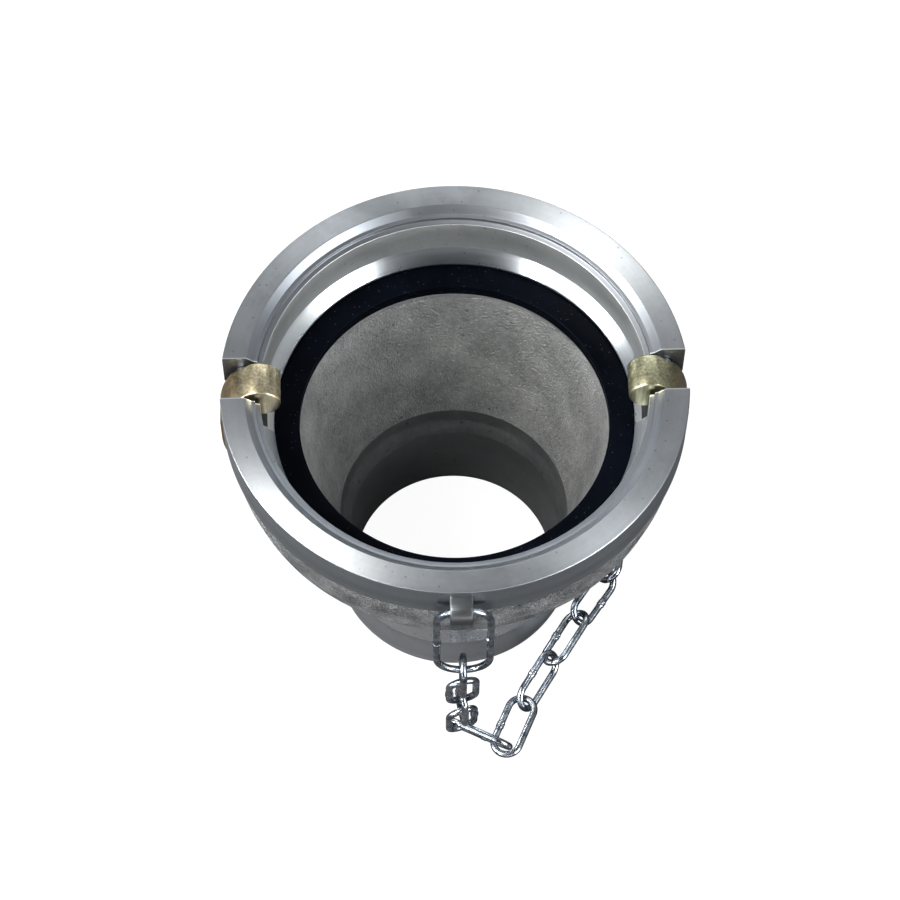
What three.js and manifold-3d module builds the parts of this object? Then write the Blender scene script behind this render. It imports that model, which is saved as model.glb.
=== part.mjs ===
// Lever-lock hose coupling: a wide socket with two cam arms above a smaller grooved adapter,
// a face seal inside the socket, and a safety chain on a cast ear.
// Millimetres, +Z up. The model stands on its adapter, centred over its own footprint.
import * as THREE from 'three';
import { mergeVertices } from 'three/addons/utils/BufferGeometryUtils.js';
import Module from 'manifold-3d';

const wasm = await Module();
wasm.setup();

// ---------- driving dimensions ----------
const TOTAL_HEIGHT = 130;
const FIT_GAP = 0.3; // between pieces that touch on the real coupling
const TURN_STEPS = 72; // facets round the turned surfaces
const MILL_LIFT = 20; // how far a milling cut starts clear of the piece it cuts

const SOCKET = {
  rimRadius: 76, rimEdge: 0.8, rimDepth: 13.5, // turned outside wall
  mouthRadius: 68.3, stepRadius: 66, stepDepth: 2.2, // conical lead-in and its step
  boreRadius: 63.2, shoulderDepth: 18, throatRadius: 59.4, throatDepth: 22.6,
};
const BAND = { stepIn: 1.2, fall: 1.6, bottomRadius: 71.8, bottomDepth: 36.6 };
const SEAL = { innerRadius: 51.2, outerRadius: 62, thickness: 4.8, depth: 24.4, lipRadius: 0.6 };
const SEAT_RADIUS = 51.6; // the ledge that the seal rests on reaches in to here
const NECK = {
  coneRadius: 39.4, coneDepth: 89, shelfRadius: 38.3, shelfDepth: 93.5, // the cone ends above a shelf
  ridgeRadius: 36.5, ridgeDepth: 98, boreRadius: 35, entryChamfer: 0.8,
};
const ADAPTER = {
  radius: 42.5, lipTopDepth: 107.8, lipBottomDepth: 119, noseRadius: 38.4,
  grooveTopDepth: 87, grooveBottomRadius: 39.9, collarRadius: 45.9, collarDepth: 80,
};
const ARM_LINE = 3; // the arms, their slots and pins sit this far behind the middle
const EAR = { width: 7.4, reach: 7.4, holeRadius: 3, wallRound: 4.9, depth: 7.4 };
const PIN = { radius: 2.6, radialPosition: 68.5, depth: 7.5, inset: 12 };
const ARM = {
  width: 11.5, sideGap: 1.5, lobeRadius: 7, lobeOffset: 4.9, lobeRise: 0.3,
  thickness: 6, tailRadial: 56.5, tailDepth: 87, eyeRadius: 2.1, eyeEdge: 4.6, bulge: 1.0,
};
const RING = { meanRadius: 9, wireRadius: 1.1 };
const WIRE = { radius: 1.2, gap: 0.4 };
const SHACKLE = { length: 46.4, width: 19.6, sideShift: 0.8 };
const LINK = { length: 25, width: 11.6, count: 11 };
const END_RING = { meanRadius: 10, heading: 112, fall: 0.1, roll: -20 };
const FLOOR_RIDE = 5.6; // height of the chain's middle line where it lies on the floor

// The chain hangs in a straight run from the shackle to its landing point beside the adapter,
// and the rest lies on the floor. Headings are compass angles from +X towards +Y. A roll turns a
// link about its own length. A hook depth is how far a link's end reaches back past its joint.
const LANDING = { x: 1, y: -66.5 };
const FLOOR_HEADINGS = [-27, 66, 58, 57.5, 55, 80, 100];
const HANG_ROLLS = [0, 78, -12, 72];
const FLOOR_ROLLS = [-72, -6, 60, -36, 48, -42, 42];
const TURN_HOOKS = [4.2, 3.6];
const FLOOR_SLACK = 0.2;

// ---------- helpers ----------
const rad = THREE.MathUtils.degToRad;
const height = (depth) => TOTAL_HEIGHT - depth; // depths are measured down from the rim face

function bare(geometry) {
  const plain = geometry.clone();
  plain.deleteAttribute('normal');
  plain.deleteAttribute('uv');
  return mergeVertices(plain, 1e-4);
}

function solid(geometry) {
  const welded = bare(geometry);
  const mesh = new wasm.Mesh({
    numProp: 3,
    vertProperties: new Float32Array(welded.attributes.position.array),
    triVerts: new Uint32Array(welded.index.array),
  });
  return new wasm.Manifold(mesh);
}

function geometryOf(manifold) {
  const mesh = manifold.getMesh();
  const geometry = new THREE.BufferGeometry();
  geometry.setAttribute('position', new THREE.BufferAttribute(mesh.vertProperties, 3));
  geometry.setIndex(new THREE.BufferAttribute(mesh.triVerts, 1));
  geometry.computeVertexNormals();
  return geometry;
}

// A closed radius-height outline turned about Z.
function turned(outline, steps = TURN_STEPS) {
  const points = outline.map(([r, z]) => new THREE.Vector2(r, z));
  points.push(points[0].clone());
  const geometry = new THREE.LatheGeometry(points, steps);
  geometry.rotateX(Math.PI / 2);
  const body = solid(geometry);
  if (body.volume() > 0) return body;
  points.reverse();
  const flipped = new THREE.LatheGeometry(points, steps);
  flipped.rotateX(Math.PI / 2);
  return solid(flipped);
}

// An outline in the X-Z plane, made as thick as width along Y and centred on it.
function plate(shape, width, curveSegments = 10) {
  const geometry = new THREE.ExtrudeGeometry(shape, { depth: width, bevelEnabled: false, curveSegments });
  geometry.translate(0, 0, -width / 2);
  geometry.rotateX(Math.PI / 2);
  return solid(geometry);
}

function block(sizeX, sizeY, sizeZ, x, y, z) {
  const geometry = new THREE.BoxGeometry(sizeX, sizeY, sizeZ);
  geometry.translate(x, y, z);
  return solid(geometry);
}

function rodAlongY(radius, fromY, toY, x, z, sides = 20) {
  const geometry = new THREE.CylinderGeometry(radius, radius, toY - fromY, sides);
  geometry.translate(x, (fromY + toY) / 2, z);
  return solid(geometry);
}

function rodAlongX(radius, fromX, toX, y, z, sides = 20) {
  const geometry = new THREE.CylinderGeometry(radius, radius, toX - fromX, sides);
  geometry.rotateZ(Math.PI / 2);
  geometry.translate((fromX + toX) / 2, y, z);
  return solid(geometry);
}

// The middle line of a chain link: two straights joined by two half circles, in the X-Y plane.
class OvalLoop extends THREE.Curve {
  constructor(length, width) {
    super();
    this.radius = width / 2;
    this.straight = length - width;
    this.arcLength = Math.PI * this.radius;
    this.total = 2 * (this.straight + this.arcLength);
  }

  getPoint(t, target = new THREE.Vector3()) {
    const along = (t % 1) * this.total;
    const half = this.total / 2;
    const side = along < half ? 1 : -1;
    const local = along < half ? along : along - half;
    if (local < this.straight) {
      return target.set(side * (this.straight / 2 - local), side * this.radius, 0);
    }
    const angle = Math.PI / 2 + (local - this.straight) / this.radius;
    const x = -this.straight / 2 + this.radius * Math.cos(angle);
    return target.set(side * x, side * this.radius * Math.sin(angle), 0);
  }
}

function wireLoop(length, width, steps) {
  const path = new OvalLoop(length - 2 * WIRE.radius, width - 2 * WIRE.radius);
  return bare(new THREE.TubeGeometry(path, steps, WIRE.radius, 8, true));
}

// ---------- body casting ----------
const rimTop = TOTAL_HEIGHT;
const seatDepth = SEAL.depth + SEAL.thickness;

function grooveOutline() {
  const points = [];
  const top = height(ADAPTER.grooveTopDepth);
  const bottom = height(ADAPTER.lipTopDepth);
  const depth = ADAPTER.radius - ADAPTER.grooveBottomRadius;
  for (let i = 0; i <= 8; i += 1) {
    const s = i / 8;
    points.push([ADAPTER.radius - depth * Math.sin(Math.PI * s), top + (bottom - top) * s]);
  }
  return points;
}

function noseOutline() {
  const points = [];
  const drop = height(ADAPTER.lipBottomDepth);
  const inward = ADAPTER.radius - ADAPTER.noseRadius;
  for (let i = 0; i <= 4; i += 1) {
    const angle = (i / 4) * (Math.PI / 2);
    points.push([ADAPTER.noseRadius + inward * Math.cos(angle), drop * (1 - Math.sin(angle))]);
  }
  return points;
}

function outsideOutline() {
  const s = SOCKET;
  const bandTop = s.rimRadius - BAND.stepIn;
  return [
    [s.rimRadius - s.rimEdge, rimTop],
    [s.rimRadius, rimTop - s.rimEdge],
    [s.rimRadius, height(s.rimDepth)],
    [bandTop, height(s.rimDepth + BAND.stepIn)],
    [bandTop - 0.3 * BAND.fall, height((s.rimDepth + BAND.bottomDepth) / 2)],
    [BAND.bottomRadius, height(BAND.bottomDepth)],
    [BAND.bottomRadius - 3.8, height(BAND.bottomDepth + 3.4)],
    [BAND.bottomRadius - 12, height(BAND.bottomDepth + 13)],
    [(BAND.bottomRadius + ADAPTER.collarRadius) / 2 - 6, height(BAND.bottomDepth + 26)],
    [ADAPTER.collarRadius, height(ADAPTER.collarDepth)],
    ...grooveOutline(),
    ...noseOutline(),
  ];
}

// A hollow quarter curve from the ridge up to the wall below the cone.
function shelfOutline() {
  const points = [];
  const outward = NECK.shelfRadius - NECK.ridgeRadius;
  const rise = NECK.ridgeDepth - NECK.shelfDepth;
  for (let i = 1; i <= 4; i += 1) {
    const angle = (i / 4) * (Math.PI / 2);
    const radius = NECK.ridgeRadius + outward * Math.sin(angle);
    points.push([radius, height(NECK.ridgeDepth) + rise * (1 - Math.cos(angle))]);
  }
  return points;
}

function insideOutline() {
  const s = SOCKET;
  const sealWall = SEAL.outerRadius + FIT_GAP;
  return [
    [NECK.boreRadius + NECK.entryChamfer, 0],
    [NECK.boreRadius, NECK.entryChamfer],
    [NECK.ridgeRadius - 0.6, height(NECK.ridgeDepth + 6)],
    [NECK.ridgeRadius, height(NECK.ridgeDepth)],
    ...shelfOutline(),
    [NECK.coneRadius, height(NECK.coneDepth)],
    [SEAT_RADIUS, height(seatDepth + FIT_GAP + 1)],
    [SEAT_RADIUS, height(seatDepth + FIT_GAP)],
    [sealWall, height(seatDepth + FIT_GAP)],
    [sealWall, height(s.throatDepth + 1)],
    [s.throatRadius, height(s.throatDepth + 0.8)],
    [s.throatRadius, height(s.throatDepth)],
    [s.boreRadius, height(s.shoulderDepth)],
    [s.boreRadius, height(s.stepDepth + 2.2)],
    [s.boreRadius + 1.6, height(s.stepDepth + 1.7)],
    [s.boreRadius + 1.6, height(s.stepDepth + 0.3)],
    [s.stepRadius, height(s.stepDepth)],
    [s.mouthRadius, rimTop],
  ];
}

const earCentre = SOCKET.rimRadius + EAR.reach - EAR.wallRound;
const holeZ = height(EAR.depth);

// The ear is a rounded tab on the outside wall, drilled from side to side.
function earSolid() {
  const centre = earCentre;
  const root = SOCKET.rimRadius - 3;
  const tab = new THREE.Shape();
  tab.moveTo(root, holeZ + EAR.wallRound);
  tab.lineTo(root, holeZ - EAR.wallRound - 5);
  tab.lineTo(root + 2, holeZ - EAR.wallRound - 5);
  tab.lineTo(centre, holeZ - EAR.wallRound);
  tab.absarc(centre, holeZ, EAR.wallRound, -Math.PI / 2, Math.PI / 2, false);
  tab.closePath();
  const settings = { depth: EAR.width, bevelEnabled: false, curveSegments: 10 };
  const upright = new THREE.ExtrudeGeometry(tab, settings);
  upright.translate(0, 0, -EAR.width / 2);
  upright.rotateX(Math.PI / 2);
  upright.rotateZ(-Math.PI / 2);
  const hole = rodAlongX(EAR.holeRadius, -EAR.width / 2 - 0.5, EAR.width / 2 + 0.5, -centre, holeZ);
  return solid(upright).subtract(hole);
}

const slotWidth = ARM.width + 2 * ARM.sideGap;
const slotFloorDepth = PIN.depth + ARM.lobeOffset + ARM.lobeRadius + 0.6;
const slotBackRadius = PIN.radialPosition - 2; // the arm lies outside this in the lower slot

function slotCut(side) {
  const inner = SOCKET.throatRadius - 4;
  const outer = SOCKET.rimRadius + MILL_LIFT;
  const high = rimTop + MILL_LIFT;
  const upper = block(
    outer - inner, slotWidth, high - height(slotFloorDepth),
    side * (inner + outer) / 2, ARM_LINE, (high + height(slotFloorDepth)) / 2,
  );
  const lowEnd = height(BAND.bottomDepth + 6);
  const lower = block(
    outer - slotBackRadius, slotWidth, height(slotFloorDepth) - lowEnd + 1,
    side * (slotBackRadius + outer) / 2, ARM_LINE, (height(slotFloorDepth) + lowEnd + 1) / 2,
  );
  return upper.add(lower);
}

const pinHalf = slotWidth / 2 + PIN.inset;

function pinBore(side) {
  return rodAlongY(
    PIN.radius + FIT_GAP, ARM_LINE - pinHalf - FIT_GAP, SOCKET.rimRadius,
    side * PIN.radialPosition, height(PIN.depth),
  );
}

function makeBody() {
  const ring = turned([...outsideOutline(), ...insideOutline()]);
  let body = ring.add(earSolid());
  for (const side of [-1, 1]) body = body.subtract(slotCut(side)).subtract(pinBore(side));
  return geometryOf(body);
}

// ---------- seal ----------
function makeSeal() {
  const top = height(SEAL.depth);
  const bottom = top - SEAL.thickness;
  const inner = SEAL.innerRadius;
  const outer = SEAL.outerRadius;
  const r = SEAL.lipRadius;
  return geometryOf(turned([
    [inner + r, bottom], [inner, bottom + r], [inner, top - r], [inner + r, top],
    [outer, top], [outer, bottom],
  ]));
}

// ---------- cam arms, pins and pull rings ----------
const tailZ = height(ARM.tailDepth);
const pinZ = height(PIN.depth);

function armProfile() {
  const lobeX = PIN.radialPosition - ARM.lobeOffset;
  const lobeZ = pinZ + ARM.lobeRise;
  const innerX = slotBackRadius + 3;
  const outerX = SOCKET.rimRadius + ARM.bulge;
  const bandZ = height(BAND.bottomDepth);
  const tailIn = ARM.tailRadial - ARM.thickness / 2;
  const tailOut = ARM.tailRadial + ARM.thickness / 2;
  const tailEnd = tailZ - ARM.eyeEdge;
  const shape = new THREE.Shape();
  shape.absarc(lobeX, lobeZ, ARM.lobeRadius, rad(68), rad(290), false);
  shape.lineTo(innerX, pinZ - 8.5);
  shape.lineTo(innerX, bandZ + 4);
  shape.bezierCurveTo(innerX, bandZ - 14, tailIn, bandZ - 26, tailIn, tailZ + 6);
  shape.lineTo(tailIn, tailEnd);
  shape.lineTo(tailOut, tailEnd);
  shape.lineTo(tailOut, tailZ + 6);
  shape.bezierCurveTo(tailOut, bandZ - 24, outerX - 0.4, bandZ - 14, outerX, bandZ + 6);
  shape.lineTo(outerX, pinZ - 12);
  shape.quadraticCurveTo(outerX - 1.2, pinZ - 4, PIN.radialPosition + 4.2, pinZ + 1.2);
  shape.closePath();
  return shape;
}

// The arm seen from outside: straight sides down to a rounded tail.
function armFront() {
  const half = ARM.width / 2;
  const shape = new THREE.Shape();
  shape.moveTo(half, TOTAL_HEIGHT + MILL_LIFT);
  shape.lineTo(-half, TOTAL_HEIGHT + MILL_LIFT);
  shape.lineTo(-half, tailZ - ARM.eyeEdge + half);
  shape.absarc(0, tailZ - ARM.eyeEdge + half, half, Math.PI, 2 * Math.PI, false);
  shape.closePath();
  const geometry = new THREE.ExtrudeGeometry(shape, {
    depth: 2 * SOCKET.rimRadius, bevelEnabled: false, curveSegments: 10,
  });
  geometry.rotateX(Math.PI / 2);
  geometry.rotateZ(Math.PI / 2);
  return solid(geometry);
}

function makeArm(side) {
  let arm = plate(armProfile(), ARM.width).intersect(armFront());
  const runningFit = PIN.radius + FIT_GAP;
  arm = arm.subtract(rodAlongY(runningFit, -ARM.width, ARM.width, PIN.radialPosition, pinZ));
  arm = arm.subtract(rodAlongX(
    ARM.eyeRadius, ARM.tailRadial - ARM.thickness, ARM.tailRadial + ARM.thickness, 0, tailZ,
  ));
  const geometry = geometryOf(arm);
  if (side < 0) geometry.rotateZ(Math.PI);
  geometry.translate(0, ARM_LINE, 0);
  return geometry;
}

function makePin(side) {
  const from = ARM_LINE - pinHalf;
  return geometryOf(rodAlongY(PIN.radius, from, from + 2 * pinHalf, side * PIN.radialPosition, pinZ));
}

// A pull ring hangs in the arm's eye, in the plane of the arm.
function makePullRing(side) {
  const ring = bare(new THREE.TorusGeometry(RING.meanRadius, RING.wireRadius, 8, 28));
  ring.rotateX(Math.PI / 2);
  ring.translate(side * ARM.tailRadial, ARM_LINE, tailZ - RING.meanRadius);
  return ring;
}

// ---------- safety chain ----------
const linkPitch = LINK.length - 4 * WIRE.radius - WIRE.gap;
const shacklePitch = SHACKLE.length - 4 * WIRE.radius - WIRE.gap;
const UP = new THREE.Vector3(0, 0, 1);
const SIDEWAYS = new THREE.Vector3(1, 0, 0);

// Moves a link made along X in the X-Y plane so that its middle is at centre, it runs along
// direction, and its face is turned by roll from the reference vector.
function placeLoop(geometry, centre, direction, reference, roll) {
  const face = reference.clone().addScaledVector(direction, -reference.dot(direction)).normalize();
  face.applyAxisAngle(direction, rad(roll));
  const across = new THREE.Vector3().crossVectors(face, direction);
  geometry.applyMatrix4(new THREE.Matrix4().makeBasis(direction, across, face));
  geometry.translate(centre.x, centre.y, centre.z);
  return geometry;
}

// The curved end of the shackle sags this much across the ear, so its crown sits higher.
const bendRadius = SHACKLE.width / 2 - WIRE.radius;
const bendReach = EAR.width / 2 + SHACKLE.sideShift;
const bendSag = bendRadius - Math.sqrt(bendRadius ** 2 - bendReach ** 2);
const shackleTop = holeZ - (EAR.holeRadius - WIRE.radius) + FIT_GAP + bendSag;
const shackleMiddle = shackleTop - SHACKLE.length / 2 + WIRE.radius;
const hook = WIRE.radius + WIRE.gap / 2; // a taut link's end reaches this far past its joint
const loopSpan = LINK.length - 2 * WIRE.radius; // between the middles of a link's two ends

// One entry a link: the middle of the link, its direction and its roll.
function hangingRun(from) {
  const to = new THREE.Vector3(LANDING.x, LANDING.y, FLOOR_RIDE);
  const span = to.distanceTo(from);
  const count = Math.max(1, Math.ceil(span / linkPitch));
  const direction = to.clone().sub(from).normalize();
  const pitch = span / count;
  const run = [];
  for (let i = 0; i < count; i += 1) {
    const middle = from.clone().addScaledVector(direction, (i + 0.5) * pitch);
    const roll = HANG_ROLLS[(i - count + 2 * HANG_ROLLS.length) % HANG_ROLLS.length];
    run.push({ middle, direction, roll, reference: SIDEWAYS });
  }
  return run;
}

function floorRun(count) {
  const joint = new THREE.Vector3(LANDING.x, LANDING.y, FLOOR_RIDE);
  const run = [];
  for (let i = 0; i < count; i += 1) {
    const entry = Math.min(i, FLOOR_HEADINGS.length - 1);
    const heading = rad(FLOOR_HEADINGS[entry]);
    const direction = new THREE.Vector3(Math.cos(heading), Math.sin(heading), 0);
    const back = TURN_HOOKS[i] ?? hook + FLOOR_SLACK;
    const front = i + 1 < TURN_HOOKS.length ? hook : hook + FLOOR_SLACK;
    const middle = joint.clone().addScaledVector(direction, loopSpan / 2 - back);
    run.push({ middle, direction, roll: FLOOR_ROLLS[entry], reference: UP });
    joint.addScaledVector(direction, loopSpan - back - front);
  }
  return { run, end: joint };
}

function chainRoute() {
  const from = new THREE.Vector3(SHACKLE.sideShift, -earCentre, shackleMiddle - shacklePitch / 2);
  const hanging = hangingRun(from);
  const { run, end } = floorRun(LINK.count - hanging.length);
  return { links: [...hanging, ...run], end };
}

function makeShackle() {
  const centre = new THREE.Vector3(SHACKLE.sideShift, -earCentre, shackleMiddle);
  const down = new THREE.Vector3(0, 0, -1);
  const facing = new THREE.Vector3(0, 1, 0);
  return placeLoop(wireLoop(SHACKLE.length, SHACKLE.width, 40), centre, down, facing, 0);
}

function makeLink({ middle, direction, roll, reference }) {
  return placeLoop(wireLoop(LINK.length, LINK.width, 28), middle, direction, reference, roll);
}

// A plain round ring threaded on the last link, lying on the floor.
function makeEndRing(route) {
  const ring = bare(new THREE.TorusGeometry(END_RING.meanRadius, WIRE.radius, 8, 32));
  const heading = rad(END_RING.heading);
  const direction = new THREE.Vector3(Math.cos(heading), Math.sin(heading), -END_RING.fall).normalize();
  const centre = route.end.clone();
  centre.addScaledVector(direction, END_RING.meanRadius - WIRE.radius - WIRE.gap / 2);
  return placeLoop(ring, centre, direction, UP, END_RING.roll);
}

// ---------- assembly ----------
const FINISHES = {
  aluminium: { color: 0xa9adb0, roughness: 0.45, metalness: 0.9 },
  nitrile: { color: 0x0b0e12, roughness: 0.5, metalness: 0 },
  brass: { color: 0xa59a6c, roughness: 0.4, metalness: 0.9 },
  steel: { color: 0xb9bfc5, roughness: 0.3, metalness: 1 },
  zinc: { color: 0xaeb6bf, roughness: 0.3, metalness: 1 },
};

function part(name, geometry, finish) {
  const mesh = new THREE.Mesh(geometry, new THREE.MeshStandardMaterial(FINISHES[finish]));
  mesh.name = name;
  return mesh;
}

function makeChain() {
  const chain = new THREE.Group();
  const route = chainRoute();
  chain.add(part('chain_shackle_link', makeShackle(), 'zinc'));
  route.links.forEach((link, i) => {
    chain.add(part(`chain_link_${String(i + 1).padStart(2, '0')}`, makeLink(link), 'zinc'));
  });
  chain.add(part('chain_end_ring', makeEndRing(route), 'zinc'));
  return chain;
}

const coupling = new THREE.Group();
coupling.add(part('coupling_body', makeBody(), 'aluminium'));
coupling.add(part('face_seal', makeSeal(), 'nitrile'));
for (const [label, side] of [['left', -1], ['right', 1]]) {
  coupling.add(part(`cam_arm_${label}`, makeArm(side), 'brass'));
  coupling.add(part(`pivot_pin_${label}`, makePin(side), 'steel'));
  coupling.add(part(`pull_ring_${label}`, makePullRing(side), 'steel'));
}
coupling.add(makeChain());

// The origin is the middle of the whole footprint, on the floor.
const footprint = new THREE.Box3().setFromObject(coupling);
coupling.position.x = -(footprint.min.x + footprint.max.x) / 2;
coupling.position.y = -(footprint.min.y + footprint.max.y) / 2;

export default coupling;
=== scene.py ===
import math

import bpy
import numpy as np
from mathutils import Matrix, Vector


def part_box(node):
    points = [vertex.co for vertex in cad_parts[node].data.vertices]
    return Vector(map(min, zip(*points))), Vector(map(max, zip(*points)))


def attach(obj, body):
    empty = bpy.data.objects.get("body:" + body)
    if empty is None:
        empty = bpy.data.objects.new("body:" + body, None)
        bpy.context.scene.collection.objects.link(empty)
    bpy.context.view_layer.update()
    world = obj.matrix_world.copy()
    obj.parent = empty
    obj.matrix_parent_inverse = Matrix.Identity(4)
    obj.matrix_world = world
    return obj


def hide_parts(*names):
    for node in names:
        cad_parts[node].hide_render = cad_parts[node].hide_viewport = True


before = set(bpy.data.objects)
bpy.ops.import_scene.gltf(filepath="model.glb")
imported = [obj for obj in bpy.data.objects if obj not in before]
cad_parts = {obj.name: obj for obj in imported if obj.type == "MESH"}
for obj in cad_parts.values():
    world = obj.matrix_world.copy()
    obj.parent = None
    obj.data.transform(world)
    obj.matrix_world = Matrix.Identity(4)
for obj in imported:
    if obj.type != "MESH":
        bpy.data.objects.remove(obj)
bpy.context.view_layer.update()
print("frame loaded")

mm = 0.001
sealLow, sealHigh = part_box("face_seal")
axisX = (sealLow.x + sealHigh.x) / 2
axisY = (sealLow.y + sealHigh.y) / 2
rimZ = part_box("coupling_body")[1].z


def closedMesh(name, vertices, faces, finish=None):
    # a closed surface, turned outwards if the volume that its triangles enclose is negative
    mesh = bpy.data.meshes.new(name)
    mesh.from_pydata(np.asarray(vertices).tolist(), [], faces)
    mesh.update()
    mesh.calc_loop_triangles()
    triangles = np.empty(len(mesh.loop_triangles) * 3, np.int32)
    mesh.loop_triangles.foreach_get("vertices", triangles)
    corners = np.asarray(vertices)[triangles.reshape(-1, 3)]
    volume = np.einsum("ij,ij->i", corners[:, 0], np.cross(corners[:, 1], corners[:, 2])).sum()
    if volume < 0:
        mesh.flip_normals()
    if finish is not None:
        mesh.polygons.foreach_set("material_index", np.asarray(finish, np.int32))
    return mesh


def gridFaces(rows, columns):
    # the quads of a sheet of points that closes on itself both ways
    row, column = np.meshgrid(np.arange(rows), np.arange(columns), indexing="ij")
    nextRow, nextColumn = (row + 1) % rows, (column + 1) % columns
    quads = np.stack([
        row * columns + column, nextRow * columns + column,
        nextRow * columns + nextColumn, row * columns + nextColumn,
    ], axis=-1)
    return quads.reshape(-1, 4)


def addPiece(name, mesh, materials, smoothAngle=32):
    piece = bpy.data.objects.new(name, mesh)
    bpy.context.scene.collection.objects.link(piece)
    for material in materials:
        mesh.materials.append(material)
    softEdges(mesh, smoothAngle)
    return piece


def softEdges(mesh, smoothAngle):
    mesh.polygons.foreach_set("use_smooth", np.ones(len(mesh.polygons), bool))
    mesh.set_sharp_from_angle(angle=math.radians(smoothAngle))


def roundedOutline(corners):
    # corners are (across, along, round, finish); each sharp corner becomes a short arc that
    # leaves its two sides at the same distance
    points, finishes = [], []
    count = len(corners)
    for i, (x, z, radius, finish) in enumerate(corners):
        here = np.array([x, z])
        before = np.array(corners[i - 1][:2]) - here
        after = np.array(corners[(i + 1) % count][:2]) - here
        if radius <= 0:
            points.append(here)
            finishes.append(finish)
            continue
        reach = min(radius, 0.45 * np.linalg.norm(before), 0.45 * np.linalg.norm(after))
        start = here + before / np.linalg.norm(before) * reach
        end = here + after / np.linalg.norm(after) * reach
        for t in np.linspace(0, 1, 5):
            points.append((1 - t) ** 2 * start + 2 * t * (1 - t) * here + t ** 2 * end)
            finishes.append(finish if t > 0.6 else corners[i - 1][3])
    return np.array(points), finishes


def turnedPiece(name, outline, finishes, steps):
    # a closed outline of (radius, height) carried round the coupling's axis
    angle = np.linspace(0, 2 * np.pi, steps, endpoint=False)[:, None]
    radius, level = outline[None, :, 0], outline[None, :, 1]
    sheet = np.stack([
        axisX + radius * np.cos(angle), axisY + radius * np.sin(angle), level + 0 * angle,
    ], axis=-1)
    names = sorted(set(finishes))
    rowFinish = np.array([names.index(one) for one in finishes])
    faces = gridFaces(steps, len(outline))
    mesh = closedMesh(name, sheet.reshape(-1, 3), faces.tolist(), np.tile(rowFinish, steps))
    return mesh, names


def slabPiece(name, outline, thickness, edge, place, rounds=4):
    # an outline in a plane, thickened both ways, with its two rims rounded by edge:
    # the rim at angle a is inset by edge(1-sin a) and lies edge(1-cos a) below the face
    x, y = outline[:, 0], outline[:, 1]
    area = np.sum(x * np.roll(y, -1) - y * np.roll(x, -1))
    along = np.roll(outline, -1, 0) - np.roll(outline, 1, 0)
    along /= np.linalg.norm(along, axis=1)[:, None]
    outward = np.stack([along[:, 1], -along[:, 0]], 1) * np.sign(area)
    turn = np.linspace(0, np.pi / 2, rounds) if edge > 0 else np.array([np.pi / 2])
    inset = edge * (1 - np.sin(turn))
    level = np.array([thickness / 2])
    if edge > 0:
        level = thickness / 2 - edge * (1 - np.sin(np.pi / 2 - turn))
    inset = np.concatenate([inset, inset[::-1]])
    level = np.concatenate([level, -level[::-1]])
    flat = outline[None] - outward[None] * inset[:, None, None]
    levels = np.broadcast_to(level[:, None, None], flat.shape[:2] + (1,))
    points = np.concatenate([flat, levels], -1)
    rings, count = points.shape[:2]
    faces = gridFaces(rings, count)[:(rings - 1) * count].tolist()
    faces += [list(range(count)), list(range((rings - 1) * count, rings * count))[::-1]]
    local = points.reshape(-1, 3)
    placed = local @ np.array(place.to_3x3()).T + np.array(place.translation)
    return closedMesh(name, placed, faces)


def axes(origin, across, up, through):
    # the matrix that sends x, y and z of a flat outline to these three directions
    rows = Matrix([across, up, through]).transposed().to_4x4()
    rows.translation = Vector(origin)
    return rows


def circle(radius, steps):
    # radius times (cos a, sin a)
    angle = np.linspace(0, 2 * np.pi, steps, endpoint=False)
    return radius * np.stack([np.cos(angle), np.sin(angle)], 1)


def rod(name, start, end, radius, edge=0.0, steps=48):
    # a circle thickened along the line from start to end
    start, end = Vector(start), Vector(end)
    through = (end - start).normalized()
    across = through.orthogonal().normalized()
    place = axes((start + end) / 2, across, through.cross(across), through)
    return slabPiece(name, circle(radius, steps), (end - start).length, edge, place)


def brick(name, low, high):
    # a box between two corners, with square edges
    middle = (Vector(low) + Vector(high)) / 2
    half = (Vector(high) - Vector(low)) / 2
    outline = np.array([[-1, -1], [1, -1], [1, 1], [-1, 1]]) * [half.x, half.y]
    upright = axes(middle, (1, 0, 0), (0, 1, 0), (0, 0, 1))
    return slabPiece(name, outline, 2 * half.z, 0, upright)


def combine(piece, tool, operation, material=None):
    # joins or cuts the piece with a tool mesh, whose own material colours the new faces
    helper = bpy.data.objects.new("helper", tool)
    bpy.context.scene.collection.objects.link(helper)
    if material is not None:
        tool.materials.append(material)
    step = piece.modifiers.new("combine", "BOOLEAN")
    step.operation = operation
    step.object = helper
    step.solver = "EXACT"
    step.material_mode = "TRANSFER" if material is not None else "INDEX"
    graph = bpy.context.evaluated_depsgraph_get()
    made = bpy.data.meshes.new_from_object(piece.evaluated_get(graph), depsgraph=graph)
    piece.modifiers.clear()
    old = piece.data
    piece.data = made
    bpy.data.meshes.remove(old)
    bpy.data.objects.remove(helper)
    bpy.data.meshes.remove(tool)


def newGroup(name, inputs, outputs):
    group = bpy.data.node_groups.new(name, "ShaderNodeTree")
    for label, kind, value in inputs:
        socket = group.interface.new_socket(name=label, in_out="INPUT", socket_type=kind)
        if value is not None:
            socket.default_value = value
    for label, kind in outputs:
        group.interface.new_socket(name=label, in_out="OUTPUT", socket_type=kind)
    return group, group.nodes.new("NodeGroupInput"), group.nodes.new("NodeGroupOutput")


def put(tree, kind, links=None, **settings):
    # one node: links is {input: value or another node's socket}
    node = tree.nodes.new(kind)
    for key, value in settings.items():
        setattr(node, key, value)
    for key, value in (links or {}).items():
        socket = node.inputs[key]
        if isinstance(value, bpy.types.NodeSocket):
            tree.links.new(value, socket)
        else:
            socket.default_value = value
    return node


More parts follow.
